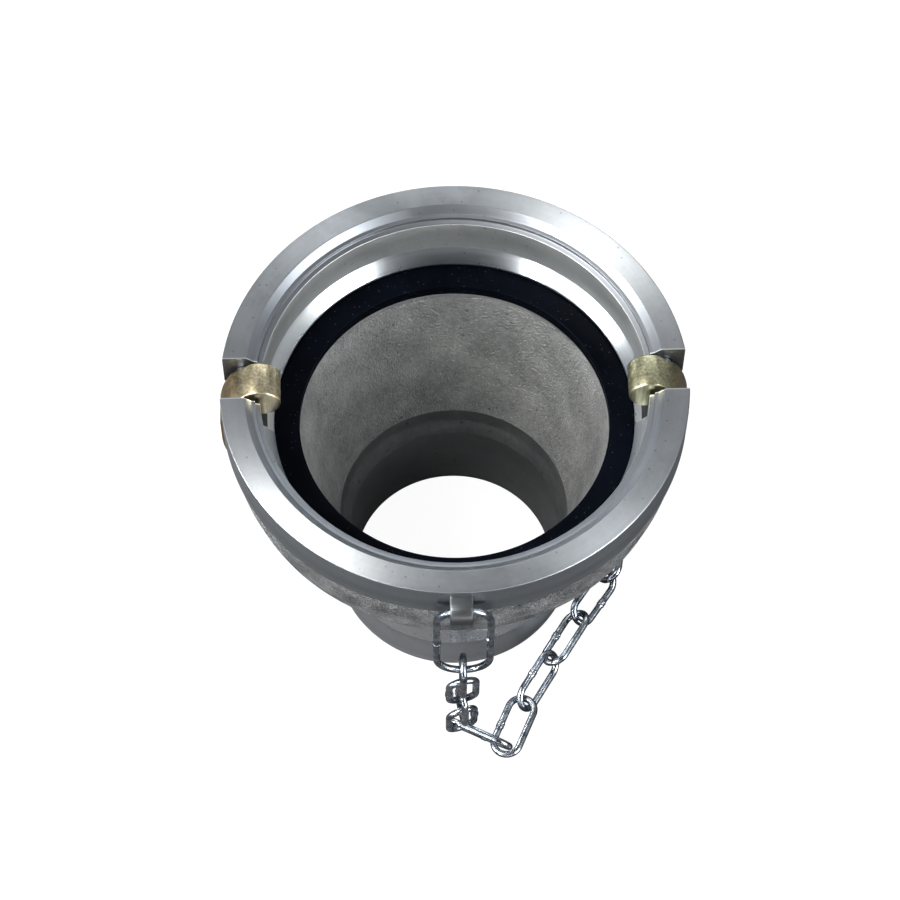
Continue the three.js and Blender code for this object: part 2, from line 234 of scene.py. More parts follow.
def calculate(tree, operation, first, second=0.0, third=None):
    links = {0: first, 1: second}
    if third is not None:
        links[2] = third
    return put(tree, "ShaderNodeMath", links, operation=operation).outputs[0]


def between(tree, value, low, high, toLow=0.0, toHigh=1.0):
    links = {"Value": value, "From Min": low, "From Max": high, "To Min": toLow, "To Max": toHigh}
    return put(tree, "ShaderNodeMapRange", links).outputs[0]


def blendColour(tree, factor, first, second, kind="MIX"):
    # from the first colour at factor 0 to the second at factor 1
    node = put(tree, "ShaderNodeMix", {"Factor": factor}, data_type="RGBA", blend_type=kind)
    for key, value in ((6, first), (7, second)):
        if isinstance(value, bpy.types.NodeSocket):
            tree.links.new(value, node.inputs[key])
        else:
            node.inputs[key].default_value = (*value, 1.0)
    return node.outputs[2]


def makeToolMarks():
    # fine rings that a lathe leaves: noise that changes with radius and height only
    group, enter, leave = newGroup("toolMarks", [
        ("Vector", "NodeSocketVector", None), ("Rings", "NodeSocketFloat", 2600.0),
    ], [("Height", "NodeSocketFloat"), ("Shade", "NodeSocketFloat")])
    parts = put(group, "ShaderNodeSeparateXYZ", {"Vector": enter.outputs["Vector"]})
    flat = put(group, "ShaderNodeCombineXYZ", {"X": parts.outputs["X"], "Y": parts.outputs["Y"]})
    away = put(group, "ShaderNodeVectorMath", {0: flat.outputs[0]}, operation="LENGTH")
    turn = calculate(group, "ARCTAN2", parts.outputs["Y"], parts.outputs["X"])
    spot = put(group, "ShaderNodeCombineXYZ", {
        "X": calculate(group, "MULTIPLY", away.outputs["Value"], enter.outputs["Rings"]),
        "Y": calculate(group, "MULTIPLY", parts.outputs["Z"], enter.outputs["Rings"]),
        "Z": calculate(group, "MULTIPLY", calculate(group, "COSINE", turn), 1.2),
    })
    fine = put(group, "ShaderNodeTexNoise", {
        "Vector": spot.outputs[0], "Scale": 1.0, "Detail": 3.0,
    })
    broad = put(group, "ShaderNodeTexNoise", {
        "Vector": spot.outputs[0], "Scale": 0.13, "Detail": 2.0,
    })
    group.links.new(fine.outputs["Fac"], leave.inputs["Height"])
    group.links.new(broad.outputs["Fac"], leave.inputs["Shade"])
    return group


def makeCastGrain():
    # the skin that moulding sand leaves: packed grains, pits and a slow unevenness
    group, enter, leave = newGroup("castGrain", [
        ("Vector", "NodeSocketVector", None), ("Grain", "NodeSocketFloat", 1500.0),
    ], [("Height", "NodeSocketFloat"), ("Shade", "NodeSocketFloat")])
    grains = put(group, "ShaderNodeTexVoronoi", {
        "Vector": enter.outputs["Vector"], "Scale": enter.outputs["Grain"], "Randomness": 1.0,
    })
    half = calculate(group, "MULTIPLY", enter.outputs["Grain"], 0.45)
    lumps = put(group, "ShaderNodeTexNoise", {
        "Vector": enter.outputs["Vector"], "Scale": half, "Detail": 6.0, "Roughness": 0.7,
    })
    slowScale = calculate(group, "MULTIPLY", enter.outputs["Grain"], 0.06)
    slow = put(group, "ShaderNodeTexNoise", {
        "Vector": enter.outputs["Vector"], "Scale": slowScale, "Detail": 4.0, "Roughness": 0.6,
    })
    grainEdge, lump = grains.outputs["Distance"], lumps.outputs["Fac"]
    height = calculate(group, "MULTIPLY_ADD", grainEdge, -0.5, lump)
    group.links.new(height, leave.inputs["Height"])
    halfSlow = calculate(group, "MULTIPLY", slow.outputs["Fac"], 0.5)
    mixed = calculate(group, "MULTIPLY_ADD", lump, 0.5, halfSlow)
    group.links.new(mixed, leave.inputs["Shade"])
    return group


def makeStains():
    # handling marks and dull patches, with a few small dark spots
    group, enter, leave = newGroup("stains", [
        ("Vector", "NodeSocketVector", None), ("Size", "NodeSocketFloat", 60.0),
    ], [("Patches", "NodeSocketFloat"), ("Spots", "NodeSocketFloat")])
    cloud = put(group, "ShaderNodeTexNoise", {
        "Vector": enter.outputs["Vector"], "Scale": enter.outputs["Size"], "Detail": 5.0,
        "Roughness": 0.65, "Distortion": 0.4,
    })
    dense = calculate(group, "MULTIPLY", enter.outputs["Size"], 9.0)
    specks = put(group, "ShaderNodeTexVoronoi", {"Vector": enter.outputs["Vector"], "Scale": dense})
    chance = put(group, "ShaderNodeTexWhiteNoise", {"Vector": specks.outputs["Position"]})
    near = between(group, specks.outputs["Distance"], 0.10, 0.24, 1.0, 0.0)
    rare = between(group, chance.outputs["Value"], 0.80, 0.86)
    group.links.new(between(group, cloud.outputs["Fac"], 0.38, 0.66), leave.inputs["Patches"])
    group.links.new(calculate(group, "MULTIPLY", near, rare), leave.inputs["Spots"])
    return group


toolMarks = makeToolMarks()
castGrain = makeCastGrain()
stains = makeStains()


def useGroup(tree, group, links):
    # one of the three groups above, with this material's own values
    node = tree.nodes.new("ShaderNodeGroup")
    node.node_tree = group
    for key, value in links.items():
        if isinstance(value, bpy.types.NodeSocket):
            tree.links.new(value, node.inputs[key])
        else:
            node.inputs[key].default_value = value
    return node


def startMaterial(name, metallic):
    # a Principled shader and the Object coordinates moved so that the axis is at x = y = 0
    material = bpy.data.materials.new(name)
    material.use_nodes = True
    tree = material.node_tree
    tree.nodes.clear()
    shader = put(tree, "ShaderNodeBsdfPrincipled", {"Metallic": metallic})
    put(tree, "ShaderNodeOutputMaterial", {"Surface": shader.outputs[0]})
    where = tree.nodes.new("ShaderNodeTexCoord").outputs["Object"]
    centred = put(tree, "ShaderNodeMapping", {"Vector": where, "Location": (-axisX, -axisY, 0)})
    return material, tree, shader, centred.outputs[0]


def finishMaterial(tree, shader, colour, roughness, heights):
    # each height is (socket, strength, distance), and its bump lies on top of the one before
    tree.links.new(colour, shader.inputs["Base Color"])
    tree.links.new(roughness, shader.inputs["Roughness"])
    normal = None
    for height, strength, distance in heights:
        links = {"Height": height, "Strength": strength, "Distance": distance}
        if normal is not None:
            links["Normal"] = normal
        normal = put(tree, "ShaderNodeBump", links).outputs[0]
    tree.links.new(normal, shader.inputs["Normal"])


def slotEdgeHighlight(tree, where):
    # painted highlight: near-white where the two milled slots break through a turned face, standing
    # in for the light that their sharp edges catch
    parts = put(tree, "ShaderNodeSeparateXYZ", {"Vector": where})
    fromLine = calculate(tree, "SUBTRACT", parts.outputs["Y"], casting["armLine"] * mm)
    aside = calculate(tree, "ABSOLUTE", fromLine)
    off = calculate(tree, "SUBTRACT", aside, casting["slotWidth"] / 2 * mm)
    line = between(tree, off, 0.15 * mm, 0.55 * mm, 1.0, 0.0)
    out = between(tree, calculate(tree, "ABSOLUTE", parts.outputs["X"]), 50 * mm, 52 * mm)
    return calculate(tree, "MULTIPLY", line, out)


# patches and spots are wear; the near-white last colour is the painted highlight at the slot edges
wearAndSlotHighlight = {
    "turnedPatch": 55.0, "turnedDark": 0.62, "turnedSpots": 0.45, "turnedSpot": (0.16, 0.16, 0.17),
    "castPatch": 34.0, "castDark": 0.6, "castSpots": 0.5, "castSpot": (0.10, 0.10, 0.105),
    "slotHighlight": (0.98, 0.98, 0.98),
}


def turnedAluminium(name, dark, light, rough, rings, ringHigh, patch=0.5, brushed=0.0):
    # lathe rings from dark to light, dulled in patches, with a painted highlight at the slot edges
    material, tree, shader, where = startMaterial(name, 1.0)
    marks = useGroup(tree, toolMarks, {"Vector": where, "Rings": rings})
    dull = useGroup(tree, stains, {"Vector": where, "Size": wearAndSlotHighlight["turnedPatch"]})
    patches, spots = dull.outputs["Patches"], dull.outputs["Spots"]
    tint = blendColour(tree, marks.outputs["Shade"], dark, light)
    worn = calculate(tree, "MULTIPLY", patches, 0.30 * patch)
    tint = blendColour(tree, worn, tint, tuple(wearAndSlotHighlight["turnedDark"] * c for c in dark))
    spotted = calculate(tree, "MULTIPLY", spots, wearAndSlotHighlight["turnedSpots"])
    tint = blendColour(tree, spotted, tint, wearAndSlotHighlight["turnedSpot"])
    # painted highlight: near-white along the slot edges
    tint = blendColour(tree, slotEdgeHighlight(tree, where), tint, wearAndSlotHighlight["slotHighlight"])
    gloss = calculate(tree, "MULTIPLY_ADD", patches, 0.10 * patch, rough)
    gloss = calculate(tree, "MULTIPLY_ADD", marks.outputs["Shade"], 0.10, gloss)
    finishMaterial(tree, shader, tint, gloss, [(marks.outputs["Height"], 0.5, ringHigh * mm)])
    if brushed:
        # fine rings spread a highlight outward from the axis
        flat = {0: where, 1: (1.0, 1.0, 0.0)}
        outward = put(tree, "ShaderNodeVectorMath", flat, operation="MULTIPLY").outputs[0]
        outward = put(tree, "ShaderNodeVectorMath", {0: outward}, operation="NORMALIZE").outputs[0]
        tree.links.new(outward, shader.inputs["Tangent"])
        shader.inputs["Anisotropic"].default_value = brushed
    return material


def castAluminium(name, dark, light, rough, grain, grainHigh):
    # the skin of a sand casting from dark to light, with faint patches and dark spots
    material, tree, shader, where = startMaterial(name, 0.9)
    skin = useGroup(tree, castGrain, {"Vector": where, "Grain": grain})
    dull = useGroup(tree, stains, {"Vector": where, "Size": wearAndSlotHighlight["castPatch"]})
    patches, spots = dull.outputs["Patches"], dull.outputs["Spots"]
    shade = between(tree, skin.outputs["Shade"], 0.32, 0.66)
    tint = blendColour(tree, shade, dark, light)
    worn = calculate(tree, "MULTIPLY", patches, 0.10)
    tint = blendColour(tree, worn, tint, tuple(wearAndSlotHighlight["castDark"] * c for c in dark))
    spotted = calculate(tree, "MULTIPLY", spots, wearAndSlotHighlight["castSpots"])
    tint = blendColour(tree, spotted, tint, wearAndSlotHighlight["castSpot"])
    gloss = calculate(tree, "MULTIPLY_ADD", skin.outputs["Shade"], 0.22, rough)
    finishMaterial(tree, shader, tint, gloss, [(skin.outputs["Height"], 0.9, grainHigh * mm)])
    return material


def sealRubber():
    # near-black rubber with a faint haze, moulding rings and a little dust
    material, tree, shader, where = startMaterial("nitrileRubber", 0.0)
    dust = useGroup(tree, stains, {"Vector": where, "Size": 120.0})
    haze = useGroup(tree, stains, {"Vector": where, "Size": 40.0})
    marks = useGroup(tree, toolMarks, {"Vector": where, "Rings": 700.0})
    cloud = haze.outputs["Patches"]
    tint = blendColour(tree, cloud, (0.0015, 0.0025, 0.005), (0.003, 0.005, 0.010))
    dusty = calculate(tree, "MULTIPLY", dust.outputs["Spots"], 0.6)
    tint = blendColour(tree, dusty, tint, (0.10, 0.12, 0.15))
    gloss = calculate(tree, "MULTIPLY_ADD", cloud, 0.16, 0.34)
    finishMaterial(tree, shader, tint, gloss, [
        (marks.outputs["Height"], 0.15, 0.06 * mm), (cloud, 0.12, 0.1 * mm),
    ])
    shader.inputs["Specular IOR Level"].default_value = 0.04
    return material


def camBrass(name, low, middle, high):
    # ground brass: upright grinding streaks, dull patches and an orange outer side
    material, tree, shader, where = startMaterial(name, 1.0)
    stretch = put(tree, "ShaderNodeMapping", {"Vector": where, "Scale": (1100.0, 1100.0, 70.0)})
    streaks = put(tree, "ShaderNodeTexNoise", {
        "Vector": stretch.outputs[0], "Scale": 1.0, "Detail": 4.0,
    }).outputs["Fac"]
    dull = useGroup(tree, stains, {"Vector": where, "Size": 170.0})
    skin = useGroup(tree, castGrain, {"Vector": where, "Grain": 2300.0})
    patches, spots = dull.outputs["Patches"], dull.outputs["Spots"]
    tint = blendColour(tree, between(tree, streaks, 0.32, 0.68), low, high)
    tint = blendColour(tree, calculate(tree, "MULTIPLY", patches, 0.30), tint, middle)
    tint = blendColour(tree, calculate(tree, "MULTIPLY", spots, 0.5), tint, (0.12, 0.09, 0.05))
    parts = put(tree, "ShaderNodeSeparateXYZ", {"Vector": where})
    across = calculate(tree, "ABSOLUTE", parts.outputs["X"])
    outside = between(tree, across, 69 * mm, 74 * mm)
    tint = blendColour(tree, calculate(tree, "MULTIPLY", outside, 0.55), tint, (0.42, 0.27, 0.12))
    gloss = calculate(tree, "MULTIPLY_ADD", patches, 0.16, 0.28)
    finishMaterial(tree, shader, tint, gloss, [
        (streaks, 0.40, 0.06 * mm), (skin.outputs["Height"], 0.15, 0.06 * mm),
    ])
    return material


def brightWire(name, dark, light, rough, bluish):
    # drawn wire: cloudy bands from dark to light, tiny spangles, a bluish cast and a soft ripple
    material, tree, shader, where = startMaterial(name, 1.0)
    cloud = put(tree, "ShaderNodeTexNoise", {
        "Vector": where, "Scale": 260.0, "Detail": 4.0, "Roughness": 0.6,
    })
    spangle = put(tree, "ShaderNodeTexVoronoi", {"Vector": where, "Scale": 1900.0})
    ripple = put(tree, "ShaderNodeTexNoise", {"Vector": where, "Scale": 900.0, "Detail": 3.0})
    dull = useGroup(tree, stains, {"Vector": where, "Size": 210.0})
    patches, spots = dull.outputs["Patches"], dull.outputs["Spots"]
    tint = blendColour(tree, between(tree, cloud.outputs["Fac"], 0.36, 0.64), dark, light)
    shine = between(tree, spangle.outputs["Distance"], 0.1, 0.7)
    tint = blendColour(tree, calculate(tree, "MULTIPLY", shine, 0.16), tint, (0.45, 0.52, 0.62))
    cast = calculate(tree, "MULTIPLY", patches, 0.4 * bluish)
    tint = blendColour(tree, cast, tint, (0.30, 0.36, 0.46))
    tint = blendColour(tree, calculate(tree, "MULTIPLY", spots, 0.5), tint, (0.13, 0.13, 0.14))
    gloss = calculate(tree, "MULTIPLY_ADD", patches, 0.14, rough)
    finishMaterial(tree, shader, tint, gloss, [(ripple.outputs["Fac"], 0.30, 0.12 * mm)])
    return material


# in millimetres; depths go down from the rim and the rest goes outward from the axis
casting = {
    "steps": 288, "smoothAngle": 28, "armLine": 3.0,
    "slotWidth": 14.5, "slotFloor": 20.0, "slotInner": 55.4, "slotBack": 66.5, "slotEnd": 42.6,
    "cutOut": 96.0, "cutUp": 20.0, "cutDown": 1.0,
    "pinReach": 19.25, "pinRadius": 2.6, "pinAcross": 68.5, "pinDepth": 7.5, "pinGap": 0.3,
    "drillBack": 76.0, "earAcross": 78.5, "earDepth": 7.4, "earRound": 4.9, "earWidth": 7.4,
    "earHole": 3.0, "earEdge": 0.7, "earRoot": 73.0, "earFoot": 75.0, "earFall": 9.9,
    "grooveSteps": 25, "grooveEdge": 0.25, "noseSteps": 12,
    "groove": (42.5, 39.9, 87.0, 107.8), "nose": (42.5, 38.4, 119.0, 130.0),
    # (radius, depth, edge rounding, finish of the side that follows)
    "outside": (
        (75.7, 0, 0.1, "wall"), (76, 0.3, 0.1, "wall"), (76, 13.5, 0.25, "band"),
        (74.8, 14.7, 0.8, "band"), (74.32, 25.05, 3, "band"), (71.8, 36.6, 2.6, "band"),
        (68, 40, 2.4, "band"), (59.8, 49.6, 4, "band"), (52.85, 62.6, 6, "band"),
        (45.9, 80, 1.2, "lip"),
    ),
    "inside": (
        (35.8, 130, 0.2, "throat"), (35, 129.2, 0.3, "throat"), (35.8, 106, 4, "throat"),
        (36.3, 99.5, 0.8, "shelf"), (37.6, 95.8, 1.2, "shelf"), (38.7, 93.2, 2.2, "shelf"),
        (39.4, 89, 1.2, "cone"), (51.6, 30.5, 0.3, "bore"), (51.6, 29.5, 0.2, "bore"),
        (62.3, 29.5, 0.1, "bore"), (62.3, 23.6, 0.1, "bore"), (59.4, 23.4, 0.15, "landing"),
        (59.4, 22.6, 0.15, "landing"), (63.2, 18, 0.2, "bore"), (63.2, 4.4, 0.2, "step"),
        (64.8, 3.9, 0.2, "step"), (64.8, 2.5, 0.15, "step"), (66, 2.2, 0.15, "mouth"),
        (68.3, 0, 0.2, "rim"),
    ),
}


def castingCorners():
    # outside from the rim down, under the nose, then up the inside to the mouth. The groove
    # is half a sine wave deep over its height and the nose is a quarter of an ellipse.
    corners = list(casting["outside"])
    wide, narrow, top, bottom = casting["groove"]
    for s in np.linspace(0, 1, casting["grooveSteps"]):
        edge = casting["grooveEdge"] if s in (0.0, 1.0) else 0
        finish = "groove" if s < 1 else "lip"
        radius = wide - (wide - narrow) * math.sin(math.pi * s)
        corners.append((radius, top + (bottom - top) * s, edge, finish))
    wide, narrow, top, bottom = casting["nose"]
    for a in np.linspace(0, math.pi / 2, casting["noseSteps"]):
        radius, depth = narrow + (wide - narrow) * math.cos(a), top + (bottom - top) * math.sin(a)
        corners.append((radius, depth, 0, "lip"))
    corners += casting["inside"]
    return [(r * mm, rimZ - depth * mm, edge * mm, finish) for r, depth, edge, finish in corners]


def earOutline():
    # (outward from the axis, height): a tab with a round nose and a sloped underside
    c = casting
    level = rimZ / mm - c["earDepth"]
    turn = np.linspace(-np.pi / 2, np.pi / 2, 25)
    nose = np.stack([np.cos(turn), np.sin(turn)], 1) * c["earRound"] + [c["earAcross"], level]
    top, low = level + c["earRound"], level - c["earFall"]
    root = np.array([[c["earRoot"], top], [c["earRoot"], low], [c["earFoot"], low]])
    return np.concatenate([nose, root]) * mm


# (name, dark, light, roughness, rings per metre, ring height in mm, patches, brushed)
turnedFinishes = {
    "rim": ("turnedRim", (0.47, 0.49, 0.505), (0.66, 0.68, 0.695), 0.36, 2200.0, 0.12, 1.2, 0.86),
    "wall": ("turnedWall", (0.30, 0.32, 0.34), (0.46, 0.48, 0.50), 0.38, 1500.0, 0.05, 0.9),
    "mouth": ("turnedMouth", (0.28, 0.30, 0.33), (0.48, 0.50, 0.53), 0.30, 1900.0, 0.08),
    "step": ("turnedStep", (0.20, 0.21, 0.23), (0.38, 0.40, 0.42), 0.36, 1900.0, 0.04),
    "bore": ("turnedBore", (0.56, 0.58, 0.58), (0.78, 0.79, 0.79), 0.42, 1500.0, 0.08, 0.8),
    "landing": (
        "turnedLanding", (0.50, 0.55, 0.60), (0.95, 0.96, 0.98), 0.24, 1900.0, 0.02, 0.4, 0.8,
    ),
    "throat": ("turnedThroat", (0.56, 0.57, 0.58), (0.72, 0.73, 0.74), 0.34, 1100.0, 0.07),
    "lip": ("turnedLip", (0.60, 0.62, 0.65), (0.76, 0.78, 0.80), 0.26, 1600.0, 0.05),
    "groove": (
        "polishedGroove", (0.78, 0.80, 0.82), (0.93, 0.94, 0.95), 0.20, 1300.0, 0.05, 0.3,
    ),
    "ear": ("filedEar", (0.14, 0.15, 0.155), (0.28, 0.29, 0.30), 0.32, 2100.0, 0.12, 0.9),
}
# (name, dark, light, roughness, grains per metre, grain height in mm)
castFinishes = {
    "shelf": ("castShelf", (0.34, 0.35, 0.36), (0.50, 0.51, 0.52), 0.26, 1500.0, 0.10),
    "band": ("sandCastBand", (0.03, 0.032, 0.034), (0.62, 0.63, 0.64), 0.27, 2100.0, 1.5),
    "cone": ("sandCastCone", (0.40, 0.41, 0.41), (0.80, 0.80, 0.79), 0.36, 1300.0, 0.6),
    "slot": ("milledSlot", (0.12, 0.13, 0.14), (0.22, 0.23, 0.24), 0.34, 2600.0, 0.08),
}
finishSet = {one: turnedAluminium(*values) for one, values in turnedFinishes.items()}
finishSet.update({one: castAluminium(*values) for one, values in castFinishes.items()})

outline, outlineFinish = roundedOutline(castingCorners())
mesh, finishNames = turnedPiece("couplingCasting", outline, outlineFinish, casting["steps"])
castingFinishes = [finishSet[one] for one in finishNames]
couplingCasting = addPiece("couplingCasting", mesh, castingFinishes, casting["smoothAngle"])

earPlace = axes((axisX, axisY, 0), (0, -1, 0), (0, 0, 1), (-1, 0, 0))
earWide, earEdge = casting["earWidth"] * mm, casting["earEdge"] * mm
earTab = slabPiece("earTab", earOutline(), earWide, earEdge, earPlace)
combine(couplingCasting, earTab, "UNION", finishSet["ear"])
holeY, holeZ = axisY - casting["earAcross"] * mm, rimZ - casting["earDepth"] * mm
holeStart, holeEnd = (axisX - earWide, holeY, holeZ), (axisX + earWide, holeY, holeZ)
earHole = rod("earHole", holeStart, holeEnd, casting["earHole"] * mm)
combine(couplingCasting, earHole, "DIFFERENCE", finishSet["ear"])

armY = axisY + casting["armLine"] * mm
for side in (-1, 1):
    c = casting
    half = c["slotWidth"] / 2 * mm
    topZ, floorZ = rimZ + c["cutUp"] * mm, rimZ - c["slotFloor"] * mm
    endZ = rimZ - c["slotEnd"] * mm
    cuts = (
        ("slotTop", c["slotInner"], floorZ, topZ),
        ("slotLow", c["slotBack"], endZ, floorZ + c["cutDown"] * mm),
    )
    for name, start, lowZ, highZ in cuts:
        near, far = sorted((side * start * mm, side * c["cutOut"] * mm))
        low, high = (axisX + near, armY - half, lowZ), (axisX + far, armY + half, highZ)
        combine(couplingCasting, brick(name, low, high), "DIFFERENCE", finishSet["slot"])
    pinX, pinZ = axisX + side * c["pinAcross"] * mm, rimZ - c["pinDepth"] * mm
    drillStart = (pinX, armY - (c["pinReach"] + c["pinGap"]) * mm, pinZ)
    drillEnd = (pinX, axisY + c["drillBack"] * mm, pinZ)
    drill = rod("drill", drillStart, drillEnd, (c["pinRadius"] + c["pinGap"]) * mm)
    combine(couplingCasting, drill, "DIFFERENCE", finishSet["slot"])
softEdges(couplingCasting.data, casting["smoothAngle"])
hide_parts("coupling_body")
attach(couplingCasting, "coupling")
print("casting made", len(couplingCasting.data.polygons))


sealShape = {
    "inner": 51.2, "outer": 62.0, "top": 24.4, "thick": 4.8, "lip": 0.7, "edge": 0.3,
    "steps": 256, "smoothAngle": 40,
    # a shallow groove on the inner side: (step outward, height above the underside, rounding)
    "groove": ((0, 1.8, 0.15), (0.2, 2.1, 0.1), (0.2, 2.4, 0.1), (0, 2.7, 0.15)),
}


def sealCorners():
    s = sealShape
    low = s["top"] + s["thick"]
    corners = [
        (s["inner"], s["top"], s["lip"]), (s["outer"], s["top"], s["edge"]),
        (s["outer"], low, s["edge"]), (s["inner"], low, s["lip"]),
    ]
    corners += [(s["inner"] + out, low - up, edge) for out, up, edge in s["groove"]]
    return [(r * mm, rimZ - depth * mm, edge * mm, "rubber") for r, depth, edge in corners]


sealLine, sealFinish = roundedOutline(sealCorners())
sealMesh = turnedPiece("faceSealRing", sealLine, sealFinish, sealShape["steps"])[0]
faceSealRing = addPiece("faceSealRing", sealMesh, [sealRubber()], sealShape["smoothAngle"])
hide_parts("face_seal")
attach(faceSealRing, "coupling")
print("seal made")


# in millimetres; a bend is its heights above or below the foot of the rough band
arm = {
    "width": 11.5, "edge": 0.55, "smoothAngle": 38, "noseTurn": (68, 290), "noseSteps": 60,
    "lobeRadius": 7.0, "lobeOffset": 4.9, "lobeRise": 0.3, "heelDrop": 8.5, "backDrop": 11,
    "inner": 69.5, "outer": 77.0, "tailAcross": 56.5, "thick": 6.0, "tailDepth": 87.0,
    "innerBend": (4, -14, -26), "outerBend": (-24, -14, 6, 9), "bendPull": 0.4,
    "tailBend": 6, "tailStart": 5, "shoulderDrop": 12, "shoulderPull": (1.2, 4),
    "crown": (4.2, 1.2), "crownSteps": 12, "eyeRadius": 2.1, "eyeEdge": 4.6, "eyeCut": 6,
    "bandDepth": 36.6, "boreCut": 20, "cutDeep": 200, "cutSide": 1, "cutUp": 20,
}


def curveThrough(start, control, steps=18):
    # a Bezier curve from start by its control points: neighbours are blended by (1-t) and t
    # until one is left. Its first point is left out.
    t = np.linspace(0, 1, steps + 1)[1:, None]
    points = [np.array(p, float) for p in (start, *control)]
    while len(points) > 1:
        points = [(1 - t) * a + t * b for a, b in zip(points, points[1:])]
    return points[0]


def armOutline():
    # (outward, height) of the arm from its side: round cam nose, curved handle, straight tail
    a = arm
    top = rimZ / mm
    pin = top - casting["pinDepth"]
    band = top - a["bandDepth"]
    tail = top - a["tailDepth"]
    end = tail - a["eyeEdge"]
    inside, outside = a["tailAcross"] - a["thick"] / 2, a["tailAcross"] + a["thick"] / 2
    inner, outer = a["inner"], a["outer"]
    turn = np.radians(np.linspace(*a["noseTurn"], a["noseSteps"]))
    centre = np.array([casting["pinAcross"] - a["lobeOffset"], pin + a["lobeRise"]])
    nose = centre + a["lobeRadius"] * np.stack([np.cos(turn), np.sin(turn)], 1)
    heel, back, shoulder = pin - a["heelDrop"], pin - a["backDrop"], pin - a["shoulderDrop"]
    first, second, third = (band + up for up in a["innerBend"])
    parts = [nose, [[inner, heel]], np.linspace([inner, back], [inner, first], 8)]
    bend = ((inner, second), (inside, third), (inside, tail + a["tailBend"]))
    parts.append(curveThrough((inner, first), bend))
    parts.append(np.linspace([inside, tail + a["tailStart"]], [inside, end], 8))
    parts.append(np.linspace([outside, end], [outside, tail + a["tailBend"]], 8))
    first, second, third, fourth = (band + up for up in a["outerBend"])
    bend = ((outside, first), (outer - a["bendPull"], second), (outer, third))
    parts.append(curveThrough((outside, tail + a["tailBend"]), bend))
    parts.append(np.linspace([outer, fourth], [outer, shoulder], 6))
    pull = (outer - a["shoulderPull"][0], pin - a["shoulderPull"][1])
    crown = (casting["pinAcross"] + a["crown"][0], pin + a["crown"][1])
    parts.append(curveThrough((outer, shoulder), (pull, crown), a["crownSteps"]))
    return np.concatenate([np.array(p, float) for p in parts]) * mm


def armFront():
    # (aside, height) of the arm from outside: a half circle for the tail under straight sides
    half = arm["width"] / 2
    turn = np.linspace(np.pi, 2 * np.pi, 33)
    roundDepth = arm["tailDepth"] + arm["eyeEdge"] - half
    tail = np.stack([half * np.cos(turn), half * np.sin(turn) - roundDepth], 1) * mm + [0, rimZ]
    wide, high = half * mm + arm["cutSide"] * mm, rimZ + arm["cutUp"] * mm
    return np.concatenate([tail, [[wide, rimZ], [wide, high], [-wide, high], [-wide, rimZ]]])


# one brass in two copies: painted lighter and creamier on the left arm, as lit, and painted darker
# on the right arm, as shaded
brassLeft = camBrass("castBrassLeft", (0.46, 0.39, 0.23), (0.42, 0.35, 0.22), (0.86, 0.79, 0.60))
brassRight = camBrass("castBrassRight", (0.38, 0.37, 0.24), (0.38, 0.36, 0.25), (0.76, 0.74, 0.52))
pinShape = {
    "edge": 0.5, "steps": 64, "smoothAngle": 40,
    "dark": (0.42, 0.42, 0.43), "light": (0.62, 0.62, 0.63), "rough": 0.24, "bluish": 0.2,
}
for side, word, brass in ((-1, "left", brassLeft), (1, "right", brassRight)):
    a = arm
    armPlace = axes((axisX, armY, 0), (side, 0, 0), (0, 0, 1), (0, -side, 0))
    sideShape = slabPiece("camArm", armOutline(), a["width"] * mm, a["edge"] * mm, armPlace)
    camArm = addPiece("camArm" + word.title(), sideShape, [brass], a["smoothAngle"])
    frontPlace = axes((axisX, armY, 0), (0, 1, 0), (0, 0, 1), (1, 0, 0))
    frontShape = slabPiece("frontShape", armFront(), a["cutDeep"] * mm, 0, frontPlace)
    combine(camArm, frontShape, "INTERSECT")
    pinX, pinZ = axisX + side * casting["pinAcross"] * mm, rimZ - casting["pinDepth"] * mm
    boreHalf, boreRadius = a["boreCut"] * mm, (casting["pinRadius"] + casting["pinGap"]) * mm
    bore = rod("bore", (pinX, armY - boreHalf, pinZ), (pinX, armY + boreHalf, pinZ), boreRadius)
    combine(camArm, bore, "DIFFERENCE")
    eyeX, eyeZ = axisX + side * a["tailAcross"] * mm, rimZ - a["tailDepth"] * mm
    eyeHalf = a["eyeCut"] * mm
    eyeStart, eyeEnd = (eyeX - eyeHalf, armY, eyeZ), (eyeX + eyeHalf, armY, eyeZ)
    combine(camArm, rod("eye", eyeStart, eyeEnd, a["eyeRadius"] * mm), "DIFFERENCE")
    softEdges(camArm.data, a["smoothAngle"])
    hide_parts("cam_arm_" + word)
    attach(camArm, "cam_arm_" + word)

    p = pinShape
    reach, pinRadius = casting["pinReach"] * mm, casting["pinRadius"] * mm
    pinStart, pinEnd = (pinX, armY - reach, pinZ), (pinX, armY + reach, pinZ)
    pinMesh = rod("pivotPin", pinStart, pinEnd, pinRadius, p["edge"] * mm, p["steps"])
    drawn = brightWire("drawnPin" + word.title(), p["dark"], p["light"], p["rough"], p["bluish"])
    pivotPin = addPiece("pivotPin" + word.title(), pinMesh, [drawn], p["smoothAngle"])
    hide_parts("pivot_pin_" + word)
    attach(pivotPin, "coupling")
print("arms and pins made")


# in millimetres, but nickDeep is a share of the wire's radius
wire = {
    "radius": 1.2, "ringRadius": 1.1, "round": 20, "along": 168, "smoothAngle": 60,
    "spotHalf": 2.6, "spotSteps": 53, "weldLong": 0.95, "weldHigh": 0.20,
    "flashHigh": 0.16, "flashAway": 0.7, "flashLong": 0.16,
    "nickDeep": 0.34, "nickLong": 0.14, "shiftHigh": 0.28, "shiftLong": 2.0,
    "ringJoint": 0.62, "shackleWeld": 0.14, "shackleJoint": 0.64, "endWeld": 0.4,
    "weldChoices": (0.13, 0.63), "weldWander": 0.02, "seed": 7,
}


def bell(away, width):
    # 1 at the middle, falling as e to the minus (away / width) squared
    return np.exp(-((away / width) ** 2))


